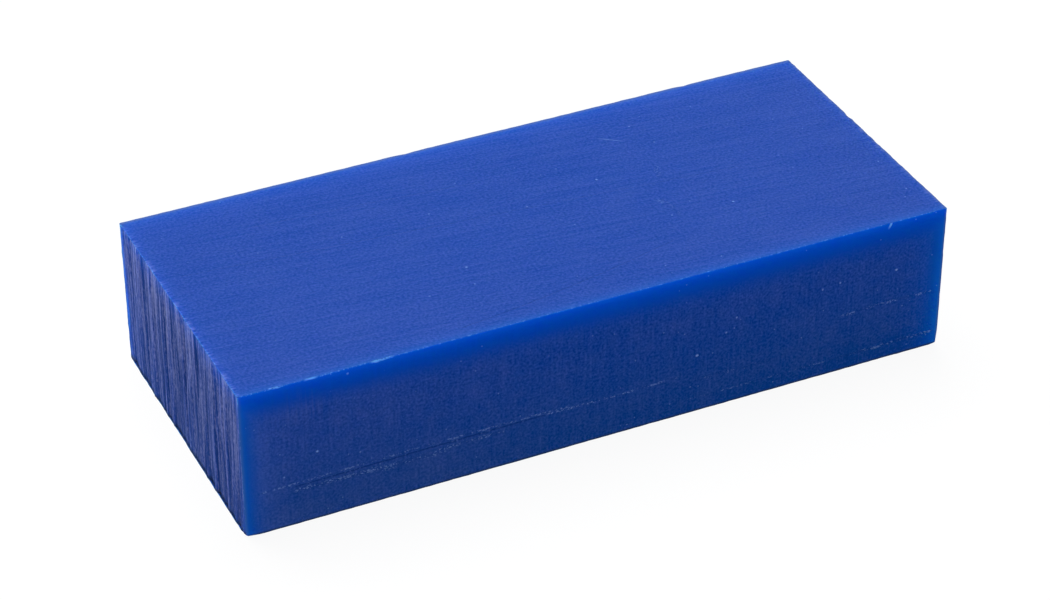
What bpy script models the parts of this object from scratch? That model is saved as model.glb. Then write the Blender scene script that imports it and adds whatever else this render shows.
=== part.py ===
"""Blue detailing clay bar: one solid block, cast flat and sawn to length.

The bar lies on its base. +X runs along its length, +Y across its width and +Z up, and the origin is
the centre of the base. Both ends are saw cuts, whose shallow grooves run from top to base. The top,
the base and the two long sides are flat. Sizes are in metres.
"""

import math
import random

import bpy

LENGTH = 0.0880  # overall, along X, between the uncut lands of the two sawn ends
WIDTH = 0.0381  # along Y
HEIGHT = 0.0191  # along Z

ARRIS_RADIUS = 0.00025  # the edges are sharp, only just broken
ARRIS_SEGMENTS = 2
ARRIS_ANGLE = math.radians(50)  # only edges that turn more than this are broken
WELD_DISTANCE = 0.000001

SAW_PITCH = 0.00135  # mean distance between saw grooves across an end
SAW_WANDER = 0.25  # how far a groove strays from its place, as a share of the pitch
SAW_MARGIN = 0.0011  # flat land left beside each corner
SAW_DEPTHS = (0.00004, 0.00013)  # shallowest and deepest groove
SAW_WIDTHS = (0.45, 0.80)  # narrowest and widest groove, as a share of the pitch
LEFT_END_SEED = 11
RIGHT_END_SEED = 29

BAR_BLUE = (0.030, 0.085, 0.440, 1.0)
BAR_ROUGHNESS = 0.55


def clear_scene():
    """Remove whatever the startup file left behind."""
    for obj in list(bpy.data.objects):
        bpy.data.objects.remove(obj, do_unlink=True)


def bar_material():
    """Waxy blue compound, the same all through."""
    material = bpy.data.materials.new("clay_blue")
    material.use_nodes = True
    shader = material.node_tree.nodes["Principled BSDF"]
    shader.inputs["Base Color"].default_value = BAR_BLUE
    shader.inputs["Roughness"].default_value = BAR_ROUGHNESS
    shader.inputs["Metallic"].default_value = 0.0
    return material


def saw_grooves(seed):
    """The grooves of one sawn end, as (place along Y, half width, depth), from -Y to +Y."""
    draw = random.Random(seed)
    span = WIDTH - 2 * SAW_MARGIN
    count = round(span / SAW_PITCH)
    pitch = span / count
    grooves = []
    for number in range(count):
        middle = -span / 2 + (number + 0.5) * pitch + draw.uniform(-1, 1) * SAW_WANDER * pitch / 2
        half_width = draw.uniform(*SAW_WIDTHS) * pitch / 2
        depth = draw.uniform(*SAW_DEPTHS)
        grooves.append((middle, half_width, depth))
    return grooves


def end_points(side, grooves):
    """Points along one end of the bar's plan, from -Y to +Y. side is 1 for +X and -1 for -X."""
    face = side * LENGTH / 2
    points = [(face, -WIDTH / 2)]
    for middle, half_width, depth in grooves:
        points.append((face, middle - half_width))
        points.append((face - side * depth, middle))
        points.append((face, middle + half_width))
    points.append((face, WIDTH / 2))
    return points


def plan_outline():
    """The bar's outline seen from above, anticlockwise."""
    right = end_points(1, saw_grooves(RIGHT_END_SEED))
    left = end_points(-1, saw_grooves(LEFT_END_SEED))
    return right + left[::-1]


def bar_block(collection):
    """The plan extruded to the bar's height, standing on z = 0, with its arrises broken."""
    plan = bpy.data.curves.new("clay_bar", "CURVE")
    plan.dimensions = "2D"
    plan.fill_mode = "BOTH"
    plan.extrude = HEIGHT / 2
    plan.materials.append(bar_material())

    outline = plan_outline()
    spline = plan.splines.new("POLY")
    spline.points.add(len(outline) - 1)
    for point, (x, y) in zip(spline.points, outline):
        point.co = (x, y, 0.0, 1.0)
    spline.use_cyclic_u = True

    bar = bpy.data.objects.new("clay_bar", plan)
    bar.location.z = HEIGHT / 2
    collection.objects.link(bar)

    weld = bar.modifiers.new("caps_to_walls", "WELD")
    weld.merge_threshold = WELD_DISTANCE

    arris = bar.modifiers.new("arris", "BEVEL")
    arris.width = ARRIS_RADIUS
    arris.segments = ARRIS_SEGMENTS
    arris.limit_method = "ANGLE"
    arris.angle_limit = ARRIS_ANGLE
    return bar


def main():
    clear_scene()
    collection = bpy.data.collections.new("detailing_clay_bar")
    bpy.context.scene.collection.children.link(collection)
    bar_block(collection)


main()
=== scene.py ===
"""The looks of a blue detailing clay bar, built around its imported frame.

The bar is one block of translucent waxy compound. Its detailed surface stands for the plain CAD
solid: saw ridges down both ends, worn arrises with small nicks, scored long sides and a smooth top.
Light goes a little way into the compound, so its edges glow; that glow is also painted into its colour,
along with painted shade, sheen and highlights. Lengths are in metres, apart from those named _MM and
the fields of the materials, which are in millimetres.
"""

import math
import random

from collections import namedtuple
from types import SimpleNamespace

import bpy
import numpy as np
from mathutils import Matrix, Vector, noise


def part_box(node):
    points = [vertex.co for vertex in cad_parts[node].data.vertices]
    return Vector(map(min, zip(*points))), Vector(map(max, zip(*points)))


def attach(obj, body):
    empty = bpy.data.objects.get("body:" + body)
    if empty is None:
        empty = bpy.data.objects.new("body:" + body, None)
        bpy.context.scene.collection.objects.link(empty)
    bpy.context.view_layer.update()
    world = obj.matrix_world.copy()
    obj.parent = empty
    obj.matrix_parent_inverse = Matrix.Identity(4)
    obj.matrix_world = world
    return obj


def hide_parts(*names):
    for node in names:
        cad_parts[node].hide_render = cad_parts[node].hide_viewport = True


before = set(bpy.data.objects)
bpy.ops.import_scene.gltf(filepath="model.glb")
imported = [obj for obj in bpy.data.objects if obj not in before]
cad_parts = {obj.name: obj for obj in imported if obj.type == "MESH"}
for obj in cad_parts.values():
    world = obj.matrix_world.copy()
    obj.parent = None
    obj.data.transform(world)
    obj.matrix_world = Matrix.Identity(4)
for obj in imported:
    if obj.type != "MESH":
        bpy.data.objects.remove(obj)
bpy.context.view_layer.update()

MM = 0.001

# Saw cuts of the two ends: the grooves of the CAD solid, which run from top to base.
SAW_PITCH = 1.35 * MM
SAW_WANDER = 0.25
SAW_MARGIN = 1.1 * MM
SAW_DEPTHS = (0.04 * MM, 0.13 * MM)
SAW_WIDTHS = (0.45, 0.80)
END_SEEDS = {-1: 11, 1: 29}

# Surface relief that only the detailed mesh has. All of it is cut into the block.
NOISE_STRIDE = Vector((7.31, 3.17, 5.73))  # how far apart two seeds look at the same noise
SAW_LEAN = 0.030  # how far a groove strays sideways for each unit of height
SAW_WAVE = 0.10 * MM
SAW_WAVE_PITCHES = (1, 5 * MM, 6 * MM)
RIDGE_PITCHES = (0.50 * MM, 0.95 * MM, 2.6 * MM)
RIDGE_DEPTHS = (0.07 * MM, 0.20 * MM, 0.12 * MM)
RIDGE_REACH = 28  # how many times longer than wide a ridge is
RIDGE_SHARPNESS = 2.2
RIDGE_SEED_STEP = 10
PLANE_WAVE = 0.05 * MM
PLANE_PITCH = 22 * MM
PLANE_SEED = 40
END_SHARE = 0.01  # a point of the surface counts as sawn where it faces its end by more than this

ARRIS_RADIUS = 0.13 * MM
ARRIS_VARIES = 0.60
ARRIS_PITCH = 0.8 * MM
ARRIS_SEED = 50

# Places where an arris or a corner has lost a little more: place in mm, extra radius, reach.
CHIPS = (
    ((36.5, -19.05, 19.1), 0.16 * MM, 0.40 * MM),
    ((-39.5, -19.05, 19.1), 0.14 * MM, 0.45 * MM),
    ((-35.5, -19.05, 19.1), 0.20 * MM, 0.50 * MM),
    ((-27.0, -19.05, 19.1), 0.20 * MM, 0.70 * MM),
    ((-8.0, 19.05, 19.1), 0.16 * MM, 0.60 * MM),
    ((29.0, 19.05, 19.1), 0.20 * MM, 0.50 * MM),
    ((44.0, 4.0, 19.1), 0.18 * MM, 0.50 * MM),
    ((-44.0, -19.05, 0.0), 0.45 * MM, 1.20 * MM),
    ((44.0, -19.05, 0.0), 0.18 * MM, 0.90 * MM),
    ((44.0, 19.05, 0.0), 0.35 * MM, 1.10 * MM),
)

# Grid lines of the mesh: close together beside an arris, then evenly spaced.
RIM_STEPS = tuple(step * MM for step in (0.0, 0.05, 0.11, 0.19, 0.30, 0.45))
GRID_PITCHES = (0.60 * MM, 0.20 * MM, 0.50 * MM)

# Camera, from where it stands around the bar's middle.
CAMERA_AZIMUTH = math.radians(-24.91)
CAMERA_ELEVATION = math.radians(34.18)
CAMERA_ROLL = math.radians(-0.22)
CAMERA_DISTANCE = 0.3771
CAMERA_AIM = Vector((-2.33, -2.37, 9.39)) * MM
CAMERA_LENS = 111.05
CAMERA_SENSOR = 36.0
CAMERA_CLIP = 0.01


def box_of_bar():
    """Lowest corner, highest corner of the CAD bar, as arrays."""
    low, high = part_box("clay_bar")
    return np.array(low), np.array(high)


# ---------------------------------------------------------------- mesh


def grid_lines(low, high, pitch):
    """Places of the grid lines from low to high."""
    rim = np.array(RIM_STEPS)
    start, end = low + rim[-1], high - rim[-1]
    count = round((end - start) / pitch)
    middle = np.linspace(start, end, count + 1)
    return np.concatenate((low + rim[:-1], middle, (high - rim[:-1])[::-1]))


def lattice_shell(lines):
    """Points, quads and each quad's axis, for the surface of a box on three sets of grid lines."""
    last = [len(places) - 1 for places in lines]
    numbers = {}
    quads = []
    axes = []
    for axis in range(3):
        across, up = (axis + 1) % 3, (axis + 2) % 3
        for layer in (0, last[axis]):
            for a in range(last[across]):
                for b in range(last[up]):
                    quad = []
                    for step_a, step_b in ((0, 0), (1, 0), (1, 1), (0, 1)):
                        key = [0, 0, 0]
                        key[axis], key[across], key[up] = layer, a + step_a, b + step_b
                        quad.append(numbers.setdefault(tuple(key), len(numbers)))
                    quads.append(quad if layer else quad[::-1])
                    axes.append(axis)
    keys = np.array(list(numbers))
    points = np.stack([lines[axis][keys[:, axis]] for axis in range(3)], axis=1)
    return points, quads, axes


def noise_at(points, pitches, seed):
    """Smooth noise from -1 to 1 at each point, of the given pitch along X, Y and Z."""
    shift = NOISE_STRIDE * seed
    scaled = points / np.array(pitches)
    return np.array([noise.noise(Vector(place) + shift) for place in scaled])


def saw_grooves(seed, width):
    """The CAD's grooves on one sawn end, as (place along Y, half width, depth), from -Y to +Y."""
    draw = random.Random(seed)
    span = width - 2 * SAW_MARGIN
    count = round(span / SAW_PITCH)
    pitch = span / count
    grooves = []
    for number in range(count):
        middle = -span / 2 + (number + 0.5) * pitch + draw.uniform(-1, 1) * SAW_WANDER * pitch / 2
        half_width = draw.uniform(*SAW_WIDTHS) * pitch / 2
        depth = draw.uniform(*SAW_DEPTHS)
        grooves.append((middle, half_width, depth))
    return grooves


def end_relief(points, side, low, high):
    """How deep the saw cut each point of one end: the CAD's grooves and finer ridges between them."""
    seed = END_SEEDS[side]
    rise = points[:, 2] - (low[2] + high[2]) / 2
    stray = SAW_LEAN * rise + SAW_WAVE * noise_at(points, SAW_WAVE_PITCHES, seed)
    sideways = points[:, 1] + stray
    depth = np.zeros(len(points))
    for middle, half_width, cut in saw_grooves(seed, high[1] - low[1]):
        share = np.clip(1 - np.abs(sideways - middle) / half_width, 0, 1)
        depth += cut * share * share * (3 - 2 * share)
    moved = points.copy()
    moved[:, 1] = sideways
    for number, (pitch, cut) in enumerate(zip(RIDGE_PITCHES, RIDGE_DEPTHS)):
        ridges = noise_at(moved, (1, pitch, pitch * RIDGE_REACH), seed + RIDGE_SEED_STEP * number)
        depth += cut * (1 - np.clip(np.abs(ridges) * RIDGE_SHARPNESS, 0, 1))
    return depth


def flat_relief(points, axis):
    """How far a flat face is hollowed at each point: a slow wave, nowhere proud of the CAD face."""
    wave = noise_at(points, (PLANE_PITCH,) * 3, PLANE_SEED + axis)
    return PLANE_WAVE * (0.5 + 0.5 * wave)


def arris_radius(points):
    """Radius of the worn arris next to each point."""
    worn = noise_at(points, (ARRIS_PITCH,) * 3, ARRIS_SEED)
    radius = ARRIS_RADIUS * (1 + ARRIS_VARIES * worn)
    for place, extra, reach in CHIPS:
        gap = np.linalg.norm(points - np.array(place) * MM, axis=1)
        radius += extra * np.exp(-(gap / reach) ** 2)
    return radius


def bar_mesh():
    """The bar's detailed surface, with an attribute that says how deep the saw cut."""
    low, high = box_of_bar()
    lines = [grid_lines(low[axis], high[axis], GRID_PITCHES[axis]) for axis in range(3)]
    points, quads, axes = lattice_shell(lines)

    radius = arris_radius(points)[:, None]
    core = np.clip(points, low + radius, high - radius)
    outward = points - core
    outward /= np.linalg.norm(outward, axis=1)[:, None]
    rounded = core + outward * radius

    share = outward ** 2
    cut = np.zeros(len(points))
    for side in END_SEEDS:
        there = outward[:, 0] * side > END_SHARE
        cut[there] = end_relief(points[there], side, low, high)
    depth = share[:, 0] * cut
    for axis in (1, 2):
        depth += share[:, axis] * flat_relief(points, axis)
    surface = rounded - outward * depth[:, None]

    mesh = bpy.data.meshes.new("clay_bar_body")
    mesh.from_pydata(surface.tolist(), [], quads)
    mesh.polygons.foreach_set("material_index", np.array(axes, dtype=np.int32))
    saw = mesh.attributes.new("saw_cut", "FLOAT", "POINT")
    saw.data.foreach_set("value", (share[:, 0] * cut / MM).astype(np.float32))
    mesh.shade_smooth()
    mesh.validate()
    return mesh


# ---------------------------------------------------------------- materials


class Field:
    """A number that varies over the surface. Arithmetic on fields adds Math nodes."""

    def __init__(self, tree, socket):
        self.tree = tree
        self.socket = socket

    def maths(self, operation, *others):
        node = self.tree.nodes.new("ShaderNodeMath")
        node.operation = operation
        for socket, value in zip(node.inputs, (self, *others)):
            plug(self.tree, value, socket)
        return Field(self.tree, node.outputs[0])

    def __add__(self, other):
        return self.maths("ADD", other)

    def __sub__(self, other):
        return self.maths("SUBTRACT", other)

    def __rsub__(self, other):
        return self * -1 + other

    def __mul__(self, other):
        return self.maths("MULTIPLY", other)

    def __truediv__(self, other):
        return self.maths("DIVIDE", other)

    def __abs__(self):
        return self.maths("ABSOLUTE")

    def least(self, other):
        return self.maths("MINIMUM", other)

    def most(self, other):
        return self.maths("MAXIMUM", other)

    def decay(self, reach):
        """1 where the field is 0, falling off exponentially over that reach."""
        return (self / -reach).maths("EXPONENT")

    def bell(self, reach):
        """1 where the field is 0, falling off like a bell curve over that reach."""
        return (self * self).decay(reach * reach)

    def step(self, start, end):
        """0 at start and before, 1 at end and after, smooth between. start may be above end."""
        node = self.tree.nodes.new("ShaderNodeMapRange")
        node.interpolation_type = "SMOOTHSTEP"
        plug(self.tree, self, node.inputs["Value"])
        node.inputs["From Min"].default_value = start
        node.inputs["From Max"].default_value = end
        return Field(self.tree, node.outputs["Result"])

    def fade(self, edge):
        """The edge's strength where the field is 0, falling off exponentially over its reach."""
        return self.decay(edge.reach) * edge.strength

    def swell(self, edge):
        """The edge's strength where the field is 0, falling off like a bell curve over its reach."""
        return self.bell(edge.reach) * edge.strength

    def ramp(self, ramp):
        """0 at the ramp's start and before, the ramp's strength at its end and after."""
        return self.step(ramp.start, ramp.end) * ramp.strength

    def kept(self, ramp):
        """1 at the ramp's end and after, less than that by its strength at its start and before."""
        return self.ramp(ramp) + (1 - ramp.strength)

    def between(self, low, high, soft):
        """1 from low to high, with ends that fade over soft."""
        return self.step(low - soft, low) * self.step(high + soft, high)


def plug(tree, value, socket):
    """Set a socket to a number or colour, or link it to a field or another socket."""
    if isinstance(value, Field):
        value = value.socket
    if isinstance(value, bpy.types.NodeSocket):
        tree.links.new(value, socket)
    else:
        socket.default_value = value


def vector(tree, x, y, z):
    """A vector made of three fields or numbers."""
    node = tree.nodes.new("ShaderNodeCombineXYZ")
    for socket, value in zip(node.inputs, (x, y, z)):
        plug(tree, value, socket)
    return node.outputs[0]


def grain(tree, place, detail=2.0, roughness=0.55):
    """Noise around 0, mostly from -0.5 to 0.5, with a pitch of about 1 in the place's units."""
    node = tree.nodes.new("ShaderNodeTexNoise")
    plug(tree, place, node.inputs["Vector"])
    node.inputs["Scale"].default_value = 1.0
    node.inputs["Detail"].default_value = detail
    node.inputs["Roughness"].default_value = roughness
    return Field(tree, node.outputs["Fac"]) - 0.5


SPECK_CORE = 0.4  # where a speck is whole, as a share of its size
SPECK_CHOICE = 0.98
FAINTEST_SPECK = 0.2


def specks(tree, place, share, size):
    """Small specks, one in some of the cells of pitch 1: 0 outside, and up to 1 inside."""
    node = tree.nodes.new("ShaderNodeTexVoronoi")
    plug(tree, place, node.inputs["Vector"])
    node.inputs["Scale"].default_value = 1.0
    near = Field(tree, node.outputs["Distance"]).step(size, size * SPECK_CORE)
    parts = tree.nodes.new("ShaderNodeSeparateColor")
    tree.links.new(node.outputs["Color"], parts.inputs[0])
    chosen = Field(tree, parts.outputs[0]).step(share, share * SPECK_CHOICE)
    strength = Field(tree, parts.outputs[1]) * (1 - FAINTEST_SPECK) + FAINTEST_SPECK
    return near * chosen * strength


def mixed(tree, share, first, second):
    """The first colour where share is 0, the second where it is 1."""
    node = tree.nodes.new("ShaderNodeMix")
    node.data_type = "RGBA"
    node.clamp_factor = True
    sockets = {socket.identifier: socket for socket in (*node.inputs, *node.outputs)}
    plug(tree, share, sockets["Factor_Float"])
    plug(tree, first, sockets["A_Color"])
    plug(tree, second, sockets["B_Color"])
    return sockets["Result_Color"]


# The compound's own colours: its mottled blue, its scuffing, which is also painted sheen, and the chalky
# marks on the faces and on the arrises, which along the arrises are partly a painted highlight. Painted
# light and shade: a bright glow and a paler rim of light near an arris, where light leaves, deep shade in
# grooves, gaps, scores and low on the ends, shade low on the long sides and a contact shadow along the
# base arris. The compound is also duller and greyer along the arrises behind and at the right.
WAX_DARK = (0.002, 0.046, 0.310, 1)
WAX_LIGHT = (0.004, 0.070, 0.460, 1)
GLOW = (0.000, 0.101, 0.775, 1)
RIM_LIGHT = (0.008, 0.190, 0.670, 1)
SCUFF_AND_SHEEN = (0.360, 0.400, 0.800, 1)
DEEP_SHADE = (0.002, 0.036, 0.230, 1)
LOWER_SIDE_SHADE = (0.002, 0.054, 0.230, 1)
SHADE = (0.020, 0.045, 0.125, 1)
DULL_EDGE = (0.085, 0.155, 0.420, 1)
CHALK = (0.200, 0.360, 0.780, 1)
NICK = (0.170, 0.470, 1.000, 1)

# How far light travels inside the compound, for red, green and blue.
LIGHT_REACH = (0.20, 0.40, 1.00)
LIGHT_REACH_MM = 1.7
WAX_IOR = 1.45
ROUGHNESS_RANGE = (0.25, 0.90)

# Kinds of values below. An edge and a ramp describe what happens beside an arris: an edge fades away
# from it over a reach in mm, and a ramp goes from a start to an end, which may lie nearer than the
# start. A pattern is noise: its pitch in mm along X, Y and Z, then detail, roughness and a shift.
Edge = namedtuple("Edge", "reach strength")
Ramp = namedtuple("Ramp", "start end strength", defaults=(1.0,))
Pattern = namedtuple("Pattern", "pitches detail roughness shift", defaults=(2.0, 0.55, 0.0))
Specks = namedtuple("Specks", "pitch share size chalk")
EVEN = 1000  # a pitch so long that a pattern doesn't change along that axis
FRONT_HALF, TOP_HALF = Ramp(1.0, -1.0), Ramp(9.0, 10.0)  # along Y, along Z

# Sawn ends.
FINE_STRANDS = Pattern((EVEN, 0.30, 14.0), 4.0, 0.80)
BROAD_STRANDS = Pattern((EVEN, 0.85, 30.0), 3.0, 0.60)
BROAD_STRAND_SHARE = 0.5
STRAND_SOFTNESS = 0.16
END_FLECKS = Pattern((EVEN, 0.24, 0.60), 2.5)
END_CREST = Ramp(0.25, 0.02)
# Painted shade and less painted sheen towards the base of the ends.
END_LOW = Ramp(16.0, 2.0)
END_LOW_SHADE = 0.26
END_CUT_SHADE = Ramp(0.06, 0.30, 0.70)
END_GAP_SHADE = Ramp(0.40, 0.00, 0.75)
END_TONE = SimpleNamespace(level=-0.55, strands=1.3, flecks=1.4)
END_TOP_GLOW, END_BACK_GLOW, END_FRONT_GLOW = Edge(2.2, 0.90), Edge(3.0, 0.60), Edge(1.0, 0.40)
END_GLOW_SHOWN = SimpleNamespace(level=0.40, strands=0.45, crests=0.15)
END_TOP_RIM, END_SIDE_RIM = Edge(0.50, 0.70), Edge(0.45, 0.40)
END_RIM_SHOWN = SimpleNamespace(level=0.20, strands=0.80)
END_HAZE = SimpleNamespace(level=-0.205, strands=0.66, crests=0.07, flecks=1.1, low=-0.18)
END_TOP_STRANDS, END_TOP_HAZE = Edge(3.0, 0.31), Edge(3.0, -0.17)
END_BACK_HAZE, END_FRONT_HAZE = Edge(3.0, 0.15), Edge(2.2, -0.20)
END_REAR_HAZE = Ramp(0.90, 0.10, 0.12)
END_ARRIS_LESS_HAZE = Ramp(-0.40, 1.20, 0.60)
END_BASE_SHADE, END_DULL_EDGE = Ramp(1.00, 0.05, 0.85), Ramp(0.55, 0.10, 0.60)
END_NICKS_AND_HIGHLIGHT = Ramp(2.0, 0.5, 0.40)
END_RELIEF = SimpleNamespace(strands=0.04, flecks=0.08)
END_DULLNESS = Ramp(0.10, 1.80, 0.80)
END_SHINE = Ramp(0.10, 1.00, 0.08)

# Long sides.
SIDE_LINES = Pattern((0.36, EVEN, 8.0), 4.0, 0.65)
SIDE_PATCHES = Pattern((8.0, EVEN, 5.0))
SIDE_BLOTCHES = Pattern((1.5, EVEN, 1.5), 1.0)
SIDE_FLECKS = Pattern((0.30, EVEN, 0.30), 2.5)
SIDE_WOBBLE = Pattern((1.8, EVEN, 5.0), shift=3.0)
SIDE_FLAKES = Pattern((0.30, EVEN, 0.20), roughness=0.6)
SIDE_SPECKS = Specks(0.9, 0.18, 0.14, 0.42)
SIDE_INSIDE = (Ramp(1.5, 4.4), Ramp(0.3, 2.6), Ramp(1.0, 2.8))  # below the top, from left, from right
SIDE_TONE = SimpleNamespace(lines=0.7, flecks=2.8, flecks_everywhere=0.3)
# Painted shade: how the long sides darken towards the base.
SIDE_LOW = Ramp(16.5, -2.0, 0.50)
SIDE_TOP_GLOW, SIDE_END_GLOW, SIDE_RIGHT_GLOW = Edge(2.6, 0.93), Edge(1.9, 0.60), Edge(2.6, 0.14)
SIDE_GLOW_START = Ramp(-0.5, 0.7)
SIDE_GLOW_RAGGED = Ramp(20.0, -30.0, 0.90)  # along X, on the front
SIDE_GLOW_ROUGH = 0.3
SIDE_TOP_RIM, SIDE_RIGHT_RIM, SIDE_LEFT_RIM = Edge(0.40, 0.60), Edge(1.0, 0.74), Edge(1.0, 0.52)
SIDE_RIM_START = Ramp(0.0, 3.0)
SIDE_MOTTLE = SimpleNamespace(lines=0.09, patches=0.07, blotches=0.06, flecks=0.19)
SIDE_HAZE = 0.020
SIDE_LEFT_HAZE = (Ramp(20.0, -44.0, 0.036), Ramp(10.0, 1.0, 0.020))  # along X, then from the left end
SIDE_RIGHT_HAZE = Ramp(0.0, 12.0, 0.010)
SIDE_ARRIS_HAZE = Ramp(0.7, 0.0, 0.04)
# Less haze and painted sheen near the base, towards the right end.
SIDE_BASE_LESS_HAZE = (Ramp(5.0, 1.0), Ramp(0.0, 14.0, 0.02))  # along Z, then along X
STREAKED = SimpleNamespace(x=-36.5, z=15.9, reach_x=2.6, reach_z=1.8, lines=Ramp(-0.15, 0.15, 0.075))
STREAKED_SHOWN = 6.0
SIDE_BASE_SHADE = Ramp(0.50, 0.10, 0.92)
SIDE_RIGHT_DULL_EDGE, SIDE_LEFT_DULL_EDGE = Ramp(0.55, 0.05, 0.50), Ramp(0.55, 0.05, 0.30)
SIDE_NICKS_AND_HIGHLIGHT, SIDE_NICKS_AND_HIGHLIGHT_EVERYWHERE = Ramp(-18.0, -30.0, 0.45), 0.14
SIDE_NICKS_AND_HIGHLIGHT_ABOVE = Ramp(1.0, 3.0)
SIDE_RELIEF = SimpleNamespace(lines=0.02, flecks=0.06, dark=-0.06)
SIDE_DULLNESS = 0.6
SIDE_BELOW_GLOW = Ramp(0.3, 1.5)

# Top and base.
FLAT_TURN = 0.09  # how far the streaks turn sideways for each unit along the bar
FLAT_STREAKS = Pattern((16, 0.45, 10), 4.0, 0.65)
FLAT_FLECKS = Pattern((0.32, 0.30, EVEN), 2.5)
FLAT_CLOUDS = Pattern((7.0, 5.0, EVEN))
FLAT_WOBBLE = Pattern((2.5, 2.5, EVEN), shift=3.0)
FLAT_FLAKES = Pattern((0.36, 0.22, EVEN), roughness=0.6)
FLAT_SPECKS = Specks(1.1, 0.15, 0.12, 0.60)
FLAT_TONE = SimpleNamespace(flecks=2.1, streaks=0.6)
FLAT_BACK_GLOW, FLAT_GLOW = Edge(2.4, 0.30), Edge(1.2, 0.16)
FLAT_SIDE_RIM, FLAT_END_RIM = Edge(0.65, 0.36), Edge(0.60, 0.14)
FLAT_HAZE = SimpleNamespace(level=0.040, streaks=0.11, flecks=0.24, clouds=0.05)
FLAT_RIGHT_HAZE = Ramp(0.0, 44.0, 0.018)
FLAT_ARRIS_LESS_HAZE = Ramp(-0.40, 1.00, 0.70)
TEETH = Ramp(0.80, 0.15)
TEETH_PALE, TEETH_DARK = Ramp(0.5, 1.0, 0.24), Ramp(0.5, 0.0, 0.55)
BASE_ARRIS_SHADE = Ramp(0.42, 0.10)
TOP_BACK_DULL_EDGE, TOP_RIGHT_DULL_EDGE = Ramp(0.85, 0.05, 0.85), Ramp(0.60, 0.05, 0.60)
TOP_NICKS_AND_HIGHLIGHT = 0.35
FLAT_RELIEF = SimpleNamespace(streaks=0.02, flecks=0.06, dark=-0.05)
FLAT_DULLNESS = Ramp(0.20, 1.80, 0.50)
TOP_SHINE = 0.08

# All faces: the arris itself lets no light in, is pale in bits, chipped and partly a painted highlight,
# and its marks are more cyan.
ARRIS_DULLNESS = Ramp(0.90, 0.30)
ARRIS_BITS = Pattern((0.5, 0.5, 0.5), 3.0, 0.7)
ARRIS_BITS_SHOWN = Ramp(0.02, 0.10)
ARRIS_FADE = 0.3  # where the pale bits are whole, as a share of their reach
NICK_PLACE = Ramp(1.2, 0.5)
END_ROUGHNESS, SIDE_ROUGHNESS, FLAT_ROUGHNESS, FLECK_ROUGHNESS = 0.6, 0.6, 0.5, 0.3
END_WEAR_AND_HIGHLIGHT, SIDE_WEAR_AND_HIGHLIGHT, TOP_WEAR_AND_HIGHLIGHT = 0.22, 0.20, 0.22

# Marks on the bar, in mm. A score has a start and an end, along X and then across the face, is bowed
# and half_width wide, and is made of chalky flakes and dark flakes, painted shade in the cut, that cover
# that share of it.
Score = namedtuple("Score", "start end bow half_width chalk dark cover")
Spot = namedtuple("Spot", "x across size chalk")
WOBBLE_MM = 0.35
CLUSTERING = 0.5
SCORE_FADE_MM = 0.8
FLAKE_SPREAD = 0.6
FLAKE_SOFTNESS = 0.04
SPOT_RAGGED_MM = 0.25
CORE = 0.3  # where a score or a spot is whole, as a share of its size

TOP_SCORES = (
    Score((-16.5, -17.2), (12.1, -11.5), -0.55, 0.12, 0.00, 0.42, 0.34),
    Score((14.6, 11.8), (16.0, 10.8), 0.00, 0.13, 0.35, 0.00, 0.80),
    Score((-41.0, 5.5), (26.0, -0.5), 0.00, 0.14, 0.05, 0.35, 0.45),
    Score((-30.0, 11.6), (-3.0, 9.4), 0.15, 0.13, 0.05, 0.30, 0.45),
    Score((17.0, 1.2), (17.4, 3.2), 0.10, 0.50, 0.32, 0.15, 0.35),
    Score((14.7, -3.4), (15.2, -6.8), 0.20, 0.55, 0.32, 0.15, 0.30),
    Score((-39.9, -18.98), (-39.4, -18.98), 0.00, 0.15, 1.00, 0.00, 0.58),
    Score((-35.6, -18.98), (-35.3, -18.98), 0.00, 0.16, 1.00, 0.00, 0.75),
    Score((-33.9, -18.98), (-33.0, -18.98), 0.00, 0.11, 0.60, 0.00, 0.40),
    Score((-27.9, -18.98), (-26.3, -18.98), 0.00, 0.16, 1.00, 0.00, 0.54),
)
BASE_SCORES = (
    Score((-28.0, 9.0), (19.0, 12.5), 0.40, 0.13, 0.05, 0.50, 0.35),
    Score((22.0, -13.0), (24.5, -8.0), 0.10, 0.30, 0.30, 0.20, 0.40),
    Score((-38.0, -6.0), (-6.0, -8.2), 0.00, 0.14, 0.10, 0.45, 0.40),
)
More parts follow.
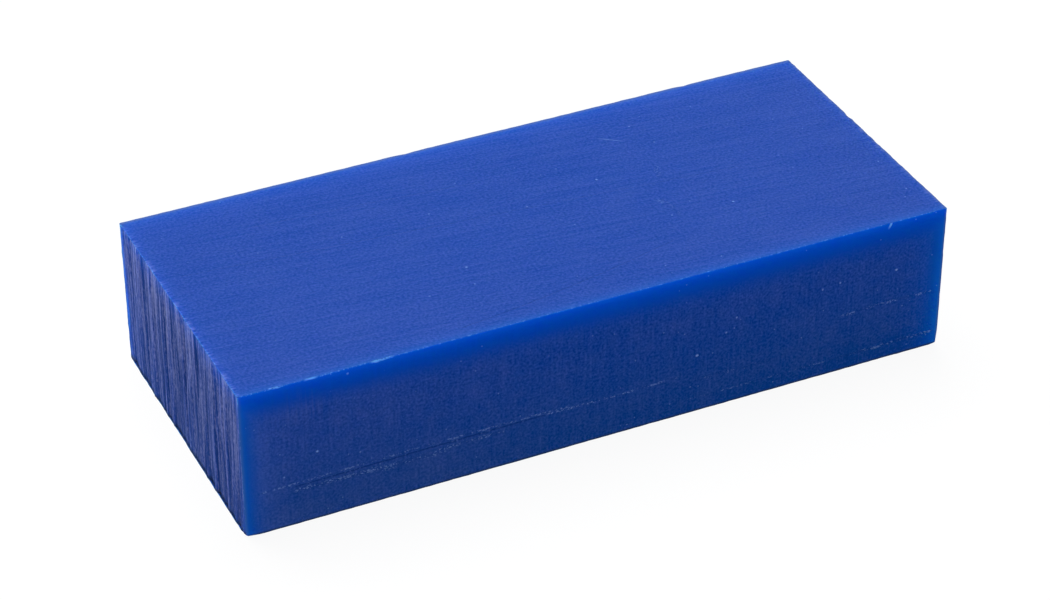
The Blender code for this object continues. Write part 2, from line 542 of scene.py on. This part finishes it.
FRONT_SCORES = (
    Score((-41.4, 5.58), (-5.0, 5.78), 0.16, 0.18, 0.46, 0.10, 0.40),
    Score((-37.5, 5.22), (-8.0, 5.50), 0.06, 0.15, 0.12, 0.70, 0.34),
    Score((-37.5, 4.70), (-27.0, 4.58), 0.00, 0.38, 0.46, 0.30, 0.42),
    Score((-28.0, 4.40), (-20.0, 4.50), 0.00, 0.60, 0.34, 0.20, 0.32),
    Score((-20.0, 4.85), (-13.0, 4.88), 0.00, 0.32, 0.38, 0.20, 0.36),
    Score((-7.0, 5.52), (3.5, 5.48), -0.04, 0.20, 0.52, 0.10, 0.42),
    Score((3.5, 5.50), (8.8, 5.60), 0.00, 0.22, 0.36, 0.10, 0.40),
    Score((11.0, 4.60), (22.0, 4.40), 0.00, 0.45, 0.32, 0.12, 0.24),
    Score((30.9, 7.85), (42.3, 7.90), 0.10, 0.32, 0.44, 0.15, 0.36),
    Score((11.0, 2.0), (31.0, 2.0), 0.00, 0.16, 0.28, 0.12, 0.34),
    Score((31.0, 1.95), (42.8, 2.1), 0.00, 0.26, 0.42, 0.25, 0.38),
    Score((36.56, 19.2), (36.42, 18.9), 0.00, 0.19, 1.00, 0.00, 1.00),
    Score((-39.9, 19.03), (-39.4, 19.03), 0.00, 0.16, 1.00, 0.00, 0.58),
    Score((-35.6, 19.03), (-35.3, 19.03), 0.00, 0.18, 1.00, 0.00, 0.75),
    Score((-33.9, 19.03), (-33.0, 19.03), 0.00, 0.12, 0.60, 0.00, 0.40),
    Score((-27.9, 19.03), (-26.3, 19.03), 0.00, 0.17, 1.00, 0.00, 0.54),
)
BACK_SCORES = (
    Score((-12.0, 6.4), (42.0, 6.2), 0.05, 0.18, 0.50, 0.15, 0.34),
    Score((3.0, 6.0), (27.0, 5.9), 0.00, 0.13, 0.10, 0.45, 0.38),
    Score((-41.0, 12.9), (-19.0, 13.0), 0.00, 0.24, 0.46, 0.15, 0.36),
    Score((14.0, 2.3), (36.0, 2.2), 0.00, 0.20, 0.46, 0.15, 0.38),
    Score((-33.0, 3.4), (-22.0, 3.7), 0.00, 0.50, 0.38, 0.20, 0.28),
)
TOP_SPOTS = (
    Spot(22.2, -7.2, 0.18, 0.75), Spot(9.9, 3.9, 0.16, 0.60), Spot(-11.5, -6.5, 0.17, 0.70),
    Spot(-17.6, -10.1, 0.15, 0.45),
)
BASE_SPOTS = (Spot(-21.0, 4.4, 0.17, 0.55), Spot(13.5, -10.8, 0.16, 0.50), Spot(31.0, 7.7, 0.15, 0.45))
FRONT_SPOTS = (
    Spot(-35.1, 9.2, 0.22, 0.90), Spot(11.6, 7.9, 0.24, 0.90), Spot(16.6, 11.7, 0.17, 0.65),
    Spot(15.3, 10.0, 0.17, 0.55), Spot(27.8, 12.3, 0.17, 0.55), Spot(30.1, 12.6, 0.17, 0.60),
    Spot(37.6, 12.3, 0.21, 0.90), Spot(-30.1, 7.5, 0.18, 0.55), Spot(-39.1, 6.9, 0.18, 0.55),
    Spot(-31.2, 18.4, 0.18, 0.55),
)
BACK_SPOTS = (
    Spot(-27.3, 8.8, 0.20, 0.85), Spot(-4.4, 11.9, 0.17, 0.65),
    Spot(19.2, 13.4, 0.18, 0.70), Spot(34.5, 9.9, 0.17, 0.55),
)


class Surface:
    """A material of the compound, with the fields that all of its patterns are made from."""

    def __init__(self, name):
        self.material = bpy.data.materials.new(name)
        self.material.use_nodes = True
        self.tree = self.material.node_tree
        self.shader = self.tree.nodes["Principled BSDF"]
        where = self.tree.nodes.new("ShaderNodeTexCoord").outputs["Object"]
        parts = self.tree.nodes.new("ShaderNodeSeparateXYZ")
        self.tree.links.new(where, parts.inputs[0])
        self.x, self.y, self.z = (Field(self.tree, out) * (1 / MM) for out in parts.outputs)
        self.low, self.high = ((corner / MM).tolist() for corner in box_of_bar())
        self.from_left, self.from_right = self.x - self.low[0], self.high[0] - self.x
        self.from_front, self.from_back = self.y - self.low[1], self.high[1] - self.y
        self.below_top, self.above_base = self.high[2] - self.z, self.z - self.low[2]
        self.along = self.from_left.least(self.from_right)
        self.across = self.from_front.least(self.from_back)
        self.edge = self.edge_distance()

    def edge_distance(self):
        """Distance in mm to the nearest arris: the middle one of the distances to the faces."""
        up_down = self.below_top.least(self.above_base)
        inner = self.along.most(self.across).least(up_down)
        return self.along.least(self.across).most(inner)

    def attribute(self, name):
        """An attribute of the mesh."""
        node = self.tree.nodes.new("ShaderNodeAttribute")
        node.attribute_name = name
        return Field(self.tree, node.outputs["Fac"])

    def grain(self, pattern, sideways=None):
        """Noise around 0 in that pattern. sideways, where it is given, takes the place of Y."""
        pitch_x, pitch_y, pitch_z = pattern.pitches
        y = self.y if sideways is None else sideways
        place = vector(self.tree, self.x / pitch_x + pattern.shift, y / pitch_y, self.z / pitch_z)
        return grain(self.tree, place, pattern.detail, pattern.roughness)

    def specks(self, kind):
        """Small round chalky specks in some of the cells of that pitch."""
        place = vector(self.tree, self.x / kind.pitch, self.y / kind.pitch, self.z / kind.pitch)
        return specks(self.tree, place, kind.share, kind.size) * kind.chalk

    def score(self, across, mark, flakes, wobble):
        """The chalky flakes and the dark flakes, painted shade in the cut, of one score, as two fields
        from 0 to 1.
        """
        (start_x, start_y), (end_x, end_y) = mark.start, mark.end
        length = math.hypot(end_x - start_x, end_y - start_y)
        ux, uy = (end_x - start_x) / length, (end_y - start_y) / length
        from_x, from_y = self.x - start_x, across - start_y
        along = (from_x * ux + from_y * uy) / length
        aside = from_y * ux - from_x * uy + wobble * WOBBLE_MM
        if mark.bow:
            aside = aside - along * (1 - along) * (4 * mark.bow)
        shown = abs(aside).step(mark.half_width, mark.half_width * CORE)
        shown = shown * along.between(0.0, 1.0, SCORE_FADE_MM / length)
        level = (0.5 - mark.cover) * FLAKE_SPREAD
        sparse, dense = level - FLAKE_SOFTNESS, level + FLAKE_SOFTNESS
        chalky = shown * flakes.step(sparse, dense) * mark.chalk
        dark = shown * flakes.step(dense, sparse) * mark.dark
        return chalky, dark

    def spot(self, across, mark, flakes):
        """One chalky spot, ragged at its edge."""
        from_x, from_other = self.x - mark.x, across - mark.across
        gap = (from_x * from_x + from_other * from_other).maths("SQRT") + flakes * SPOT_RAGGED_MM
        return gap.step(mark.size, mark.size * CORE) * mark.chalk

    def marks(self, across, there, scores, spots, flakes, wobble):
        """Chalky marks and dark marks, painted shade, of one face, as two fields. there is 1 on that face.
        """
        chalky, dark = self.score(across, scores[0], flakes, wobble)
        for mark in scores[1:]:
            more_chalky, more_dark = self.score(across, mark, flakes, wobble)
            chalky = chalky.most(more_chalky)
            dark = dark.most(more_dark)
        for mark in spots:
            chalky = chalky.most(self.spot(across, mark, flakes))
        return chalky * there, dark * there

    def wax(self, tone):
        """The compound's own blue, lighter or darker with tone, which varies around 0."""
        return mixed(self.tree, tone + 0.5, WAX_DARK, WAX_LIGHT)

    def lit(self, colour, glow, rim):
        """The colour with light that leaks out near the arrises: a bright glow and a paler rim."""
        colour = mixed(self.tree, glow, colour, GLOW)
        return mixed(self.tree, rim, colour, RIM_LIGHT)

    def with_scuff_and_sheen(self, colour, haze):
        """The colour under a pale haze of scuffing and painted sheen, which can't be less than none."""
        return mixed(self.tree, haze.most(0.0), colour, SCUFF_AND_SHEEN)

    def shaded_and_dulled(self, colour, contact_shade, dulled):
        """The colour with a painted contact shadow along the base arris and a duller, greyer line along
        other arrises.
        """
        colour = mixed(self.tree, contact_shade, colour, SHADE)
        return mixed(self.tree, dulled, colour, DULL_EDGE)

    def worn(self, reach):
        """Where the arris itself is chipped and pale, partly as a painted highlight, from 0 to 1."""
        bits = self.grain(ARRIS_BITS)
        return self.edge.step(reach, reach * ARRIS_FADE) * bits.ramp(ARRIS_BITS_SHOWN)

    def chalked(self, colour, chalky):
        """The colour with chalky marks, which are paler and more cyan beside the top arrises."""
        nicked = self.below_top.ramp(NICK_PLACE) * self.edge.ramp(NICK_PLACE)
        return mixed(self.tree, chalky, colour, mixed(self.tree, nicked, CHALK, NICK))

    def strands(self):
        """Fine strands down a sawn end, leaning as the saw went: 1 on a strand, 0 between them."""
        leaning = self.y + self.z * SAW_LEAN
        fine, broad = self.grain(FINE_STRANDS, leaning), self.grain(BROAD_STRANDS, leaning)
        return (fine + broad * BROAD_STRAND_SHARE).step(-STRAND_SOFTNESS, STRAND_SOFTNESS)

    def finish(self, colour, rough, height, dullness, specular):
        """Join the patterns to the shader. dullness is how much of the light stays at the surface."""
        tree, shader = self.tree, self.shader
        smoothest, roughest = ROUGHNESS_RANGE
        plug(tree, colour, shader.inputs["Base Color"])
        plug(tree, rough.least(roughest).most(smoothest), shader.inputs["Roughness"])
        plug(tree, 1 - dullness, shader.inputs["Subsurface Weight"])
        shader.inputs["Subsurface Radius"].default_value = LIGHT_REACH
        shader.inputs["Subsurface Scale"].default_value = LIGHT_REACH_MM * MM
        plug(tree, specular, shader.inputs["Specular IOR Level"])
        shader.inputs["IOR"].default_value = WAX_IOR
        bump = tree.nodes.new("ShaderNodeBump")
        bump.inputs["Distance"].default_value = MM
        plug(tree, height, bump.inputs["Height"])
        tree.links.new(bump.outputs[0], shader.inputs["Normal"])
        return self.material


def either(first, second):
    """Two shares together, as light that adds up but never passes 1."""
    return first + second - first * second


def sawn_end_colour(s, strands, crest, flecks, low):
    """A sawn end's compound: painted shade in the grooves and low down, a painted glow near its arrises,
    and scuffing with painted sheen on its strands.
    """
    cut = s.attribute("saw_cut")
    # Painted shade: deep in the saw grooves, between the strands and towards the base.
    groove = either(cut.ramp(END_CUT_SHADE), strands.ramp(END_GAP_SHADE))
    groove = either(groove, low * END_LOW_SHADE)
    # The strands are lighter, partly as painted light on their relief.
    tone = strands * END_TONE.strands + flecks * END_TONE.flecks + END_TONE.level
    colour = mixed(s.tree, groove, s.wax(tone), DEEP_SHADE)

    # A painted glow and rim of light near the arrises, with painted highlights on the crests.
    glow = either(s.below_top.swell(END_TOP_GLOW), s.from_back.fade(END_BACK_GLOW))
    glow = either(glow, s.from_front.fade(END_FRONT_GLOW))
    shown = strands * END_GLOW_SHOWN.strands + crest * END_GLOW_SHOWN.crests + END_GLOW_SHOWN.level
    rim = either(s.below_top.fade(END_TOP_RIM), s.across.fade(END_SIDE_RIM))
    rim = rim * (strands * END_RIM_SHOWN.strands + END_RIM_SHOWN.level)
    colour = s.lit(colour, glow * shown, rim)

    # Scuffing and painted sheen on strands and crests: more on strands near the top and near the back,
    # less near the front and low down.
    haze = strands * (s.below_top.fade(END_TOP_STRANDS) + END_HAZE.strands)
    haze = haze + s.below_top.fade(END_TOP_HAZE) + s.from_back.fade(END_BACK_HAZE)
    haze = haze + s.from_front.fade(END_FRONT_HAZE) + s.from_back.ramp(END_REAR_HAZE)
    haze = haze + crest * END_HAZE.crests + flecks * END_HAZE.flecks + low * END_HAZE.low
    return s.with_scuff_and_sheen(colour, (haze + END_HAZE.level) * s.across.kept(END_ARRIS_LESS_HAZE))


def sawn_end_material():
    """Ends: scuffing and painted sheen on ridge tops, painted shade in the saturated grooves, fine strands
    from top to base.
    """
    s = Surface("clay_sawn_end")
    strands = s.strands()
    flecks = s.grain(END_FLECKS)
    crest = s.attribute("saw_cut").ramp(END_CREST)
    colour = sawn_end_colour(s, strands, crest, flecks, s.z.ramp(END_LOW))
    # A painted contact shadow along the base arris, and a duller, greyer back arris.
    colour = s.shaded_and_dulled(colour, s.above_base.ramp(END_BASE_SHADE), s.from_back.ramp(END_DULL_EDGE))
    # Chipped pale bits and a painted highlight near the top arris.
    colour = s.chalked(colour, s.worn(END_WEAR_AND_HIGHLIGHT) * strands * s.below_top.ramp(END_NICKS_AND_HIGHLIGHT))

    rough = flecks * FLECK_ROUGHNESS + END_ROUGHNESS
    height = strands * END_RELIEF.strands + flecks * END_RELIEF.flecks
    dullness = s.edge.ramp(END_DULLNESS).most(s.above_base.ramp(ARRIS_DULLNESS))
    return s.finish(colour, rough, height, dullness, s.above_base.ramp(END_SHINE))


def long_side_light(s, lines, front):
    """How much a long side glows near its arrises, and its paler rim. Saw lines fray the glow."""
    ragged = lines * (s.x.ramp(SIDE_GLOW_RAGGED) * front + SIDE_GLOW_ROUGH)
    glow = (s.below_top + ragged).most(0.0).swell(SIDE_TOP_GLOW)
    glow = either(glow, s.along.fade(SIDE_END_GLOW) * s.along.ramp(SIDE_GLOW_START))
    glow = either(glow, s.from_right.fade(SIDE_RIGHT_GLOW))
    upright = either(s.from_right.fade(SIDE_RIGHT_RIM), s.from_left.fade(SIDE_LEFT_RIM))
    rim = either(s.below_top.fade(SIDE_TOP_RIM), upright * s.below_top.ramp(SIDE_RIM_START))
    return glow, rim


def long_side_haze(s, lines, flecks, front, inside):
    """How much scuffing and painted sheen a long side has: mottled, more so towards the left end, with one
    streaked patch.
    """
    patch = (s.x - STREAKED.x).bell(STREAKED.reach_x) * (s.z - STREAKED.z).bell(STREAKED.reach_z)
    streaked = patch * lines.ramp(STREAKED.lines)
    along_x, beside_end = SIDE_LEFT_HAZE
    left = (s.x.ramp(along_x) + s.from_left.ramp(beside_end) + streaked) * front
    patches, blotches = s.grain(SIDE_PATCHES), s.grain(SIDE_BLOTCHES)
    mottle = lines * SIDE_MOTTLE.lines + patches * SIDE_MOTTLE.patches
    mottle = mottle + blotches * SIDE_MOTTLE.blotches + flecks * SIDE_MOTTLE.flecks
    haze = (mottle + left + s.x.ramp(SIDE_RIGHT_HAZE) + SIDE_HAZE) * inside.most(streaked * STREAKED_SHOWN)
    low, right = SIDE_BASE_LESS_HAZE
    return haze + s.from_left.ramp(SIDE_ARRIS_HAZE) - s.z.ramp(low) * s.x.ramp(right)


def long_side_marks(s, front):
    """Chalky marks and dark marks, painted shade, of the two long sides."""
    wobble = s.grain(SIDE_WOBBLE)
    flakes = s.grain(SIDE_FLAKES) + wobble * CLUSTERING
    front_chalk, front_dark = s.marks(s.z, front, FRONT_SCORES, FRONT_SPOTS, flakes, wobble)
    back_chalk, back_dark = s.marks(s.z, 1 - front, BACK_SCORES, BACK_SPOTS, flakes, wobble)
    return front_chalk.most(back_chalk).most(s.specks(SIDE_SPECKS)), front_dark.most(back_dark)


def long_side_material():
    """Long sides: fine upright saw lines, a soft haze of scuffing and painted sheen, and chalky broken
    score lines.
    """
    s = Surface("clay_long_side")
    lines, flecks = s.grain(SIDE_LINES), s.grain(SIDE_FLECKS)
    front = s.y.ramp(FRONT_HALF)
    chalky, dark = long_side_marks(s, front)
    below, left, right = SIDE_INSIDE
    inside = s.below_top.ramp(below).least(s.from_left.ramp(left)).least(s.from_right.ramp(right))

    tone = flecks * (inside * SIDE_TONE.flecks + SIDE_TONE.flecks_everywhere)
    colour = s.wax(tone + lines * inside * SIDE_TONE.lines)
    # Painted shade, darker towards the base.
    colour = mixed(s.tree, s.z.ramp(SIDE_LOW), colour, LOWER_SIDE_SHADE)
    # Painted glow and rim of light near the arrises.
    colour = s.lit(colour, *long_side_light(s, lines, front))
    colour = s.with_scuff_and_sheen(colour, long_side_haze(s, lines, flecks, front, inside))
    # Painted shade in the scores.
    colour = mixed(s.tree, dark, colour, DEEP_SHADE)
    # A painted contact shadow along the base arris, and duller, greyer arrises at the ends.
    dulled = s.from_right.ramp(SIDE_RIGHT_DULL_EDGE).most(s.from_left.ramp(SIDE_LEFT_DULL_EDGE))
    colour = s.shaded_and_dulled(colour, s.above_base.ramp(SIDE_BASE_SHADE), dulled)
    # Chipped pale bits and a painted highlight along the arrises, more at the left of the front.
    nicked = s.x.ramp(SIDE_NICKS_AND_HIGHLIGHT) * front + SIDE_NICKS_AND_HIGHLIGHT_EVERYWHERE
    pale = s.worn(SIDE_WEAR_AND_HIGHLIGHT) * nicked * s.above_base.ramp(SIDE_NICKS_AND_HIGHLIGHT_ABOVE)
    colour = s.chalked(colour, chalky.most(pale))

    rough = flecks * FLECK_ROUGHNESS + SIDE_ROUGHNESS
    height = lines * SIDE_RELIEF.lines + flecks * SIDE_RELIEF.flecks + dark * SIDE_RELIEF.dark
    arris = s.above_base.least(s.along).ramp(ARRIS_DULLNESS) * s.below_top.ramp(SIDE_BELOW_GLOW)
    return s.finish(colour, rough, height, (inside * SIDE_DULLNESS).most(arris), 0.0)


def flat_face_marks(s, top):
    """Chalky marks and dark marks, painted shade, of the top and the base."""
    wobble = s.grain(FLAT_WOBBLE)
    flakes = s.grain(FLAT_FLAKES) + wobble * CLUSTERING
    top_chalk, top_dark = s.marks(s.y, top, TOP_SCORES, TOP_SPOTS, flakes, wobble)
    base_chalk, base_dark = s.marks(s.y, 1 - top, BASE_SCORES, BASE_SPOTS, flakes, wobble)
    return top_chalk.most(base_chalk).most(s.specks(FLAT_SPECKS)), top_dark.most(base_dark)


def flat_face_material():
    """Top and base: smooth, with faint lengthwise streaks, fine grain and a few pale specks."""
    s = Surface("clay_flat_face")
    streaks = s.grain(FLAT_STREAKS, s.y + s.x * FLAT_TURN)
    flecks = s.grain(FLAT_FLECKS)
    top = s.z.ramp(TOP_HALF)
    chalky, dark = flat_face_marks(s, top)

    colour = s.wax(flecks * FLAT_TONE.flecks + streaks * FLAT_TONE.streaks)
    # Painted glow and rim of light near the top's arrises.
    glow = either(s.from_back.fade(FLAT_BACK_GLOW), s.edge.fade(FLAT_GLOW))
    rim = either(s.across.fade(FLAT_SIDE_RIM), s.along.fade(FLAT_END_RIM))
    colour = s.lit(colour, glow * top, rim * top)
    # Scuffing and painted sheen, less of it by the front arris.
    haze = streaks * FLAT_HAZE.streaks + flecks * FLAT_HAZE.flecks
    haze = haze + s.grain(FLAT_CLOUDS) * FLAT_HAZE.clouds + s.x.ramp(FLAT_RIGHT_HAZE) + FLAT_HAZE.level
    colour = s.with_scuff_and_sheen(colour, haze * s.from_front.kept(FLAT_ARRIS_LESS_HAZE))
    # Where the end's strands reach the top: pale tips of scuffing and painted sheen, painted shade between
    # them.
    teeth = s.along.ramp(TEETH) * top
    strands = s.strands()
    colour = s.with_scuff_and_sheen(colour, teeth * strands.ramp(TEETH_PALE))
    # Painted shade in the scores and between the teeth.
    colour = mixed(s.tree, dark.most(teeth * strands.ramp(TEETH_DARK)), colour, DEEP_SHADE)
    # A painted contact shadow along the base's arrises, and duller, greyer arrises behind and at the right
    # of the top.
    dulled = s.from_back.ramp(TOP_BACK_DULL_EDGE).most(s.from_right.ramp(TOP_RIGHT_DULL_EDGE)) * top
    colour = s.shaded_and_dulled(colour, s.edge.ramp(BASE_ARRIS_SHADE) * (1 - top), dulled)
    # Chipped pale bits and a painted highlight along the top's arrises.
    colour = s.chalked(colour, chalky.most(s.worn(TOP_WEAR_AND_HIGHLIGHT) * top * TOP_NICKS_AND_HIGHLIGHT))

    rough = flecks * FLECK_ROUGHNESS + FLAT_ROUGHNESS
    height = streaks * FLAT_RELIEF.streaks + flecks * FLAT_RELIEF.flecks + dark * FLAT_RELIEF.dark
    arris = s.from_back.least(s.from_right).ramp(ARRIS_DULLNESS)
    return s.finish(colour, rough, height, s.edge.ramp(FLAT_DULLNESS).most(arris), top * TOP_SHINE)


# ---------------------------------------------------------------- pieces and scene


def clay_bar():
    """The visible bar, in place of the CAD solid."""
    mesh = bar_mesh()
    for material in (sawn_end_material(), long_side_material(), flat_face_material()):
        mesh.materials.append(material)
    bar = bpy.data.objects.new("clay_bar_body", mesh)
    bpy.context.scene.collection.objects.link(bar)
    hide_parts("clay_bar")
    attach(bar, "root")
    return bar


FLOOR_SIZE = 3.0
FLOOR_COLOUR = (0.075, 0.076, 0.077, 1)
FLOOR_GLOW = 0.94
FLOOR_ROUGHNESS = 0.9
FLOOR_GAP = 0.02 * MM


def pale_floor():
    """A plain white light table."""
    material = bpy.data.materials.new("pale_floor")
    material.use_nodes = True
    shader = material.node_tree.nodes["Principled BSDF"]
    shader.inputs["Base Color"].default_value = FLOOR_COLOUR
    shader.inputs["Roughness"].default_value = FLOOR_ROUGHNESS
    shader.inputs["Specular IOR Level"].default_value = 0.0
    shader.inputs["Emission Color"].default_value = (1, 1, 1, 1)
    shader.inputs["Emission Strength"].default_value = FLOOR_GLOW

    half = FLOOR_SIZE / 2
    mesh = bpy.data.meshes.new("floor")
    corners = [(-half, -half, 0), (half, -half, 0), (half, half, 0), (-half, half, 0)]
    mesh.from_pydata(corners, [], [(0, 1, 2, 3)])
    mesh.materials.append(material)
    floor = bpy.data.objects.new("floor", mesh)
    floor.location.z = -FLOOR_GAP
    bpy.context.scene.collection.objects.link(floor)


# Softboxes, in metres and watts: a large one overhead, a weak one at the left.
SOFTBOXES = {
    "key": SimpleNamespace(place=(0.0, 0.45, 1.0), size=0.9, power=14.5),
    "left_fill": SimpleNamespace(place=(-0.50, 0.55, 0.30), size=0.3, power=1.2),
}
SURROUND = 0.08


def softbox(name, box):
    """A square area light that faces the bar."""
    light = bpy.data.lights.new(name, "AREA")
    light.shape = "SQUARE"
    light.size = box.size
    light.energy = box.power
    lamp = bpy.data.objects.new(name, light)
    lamp.location = box.place
    lamp.rotation_euler = (Vector((0, 0, 0)) - lamp.location).to_track_quat("-Z", "Y").to_euler()
    bpy.context.scene.collection.objects.link(lamp)


def studio_light():
    """The softboxes and a dim even surround."""
    for name, box in SOFTBOXES.items():
        softbox(name, box)
    world = bpy.data.worlds.new("surround")
    world.use_nodes = True
    background = world.node_tree.nodes["Background"]
    background.inputs["Color"].default_value = (1, 1, 1, 1)
    background.inputs["Strength"].default_value = SURROUND
    bpy.context.scene.world = world


def camera():
    """The camera, on a circle around its aim point."""
    toward = Vector((
        -math.sin(CAMERA_AZIMUTH) * math.cos(CAMERA_ELEVATION),
        math.cos(CAMERA_AZIMUTH) * math.cos(CAMERA_ELEVATION),
        -math.sin(CAMERA_ELEVATION),
    ))
    data = bpy.data.cameras.new("camera")
    data.lens = CAMERA_LENS
    data.sensor_width = CAMERA_SENSOR
    data.clip_start = CAMERA_CLIP
    eye = bpy.data.objects.new("camera", data)
    turn = toward.to_track_quat("-Z", "Y").to_matrix() @ Matrix.Rotation(CAMERA_ROLL, 3, "Z")
    eye.matrix_world = Matrix.LocRotScale(CAMERA_AIM - toward * CAMERA_DISTANCE, turn, None)
    bpy.context.scene.collection.objects.link(eye)
    bpy.context.scene.camera = eye


camera()
clay_bar()
pale_floor()
studio_light()
bpy.context.scene.view_settings.view_transform = "Standard"
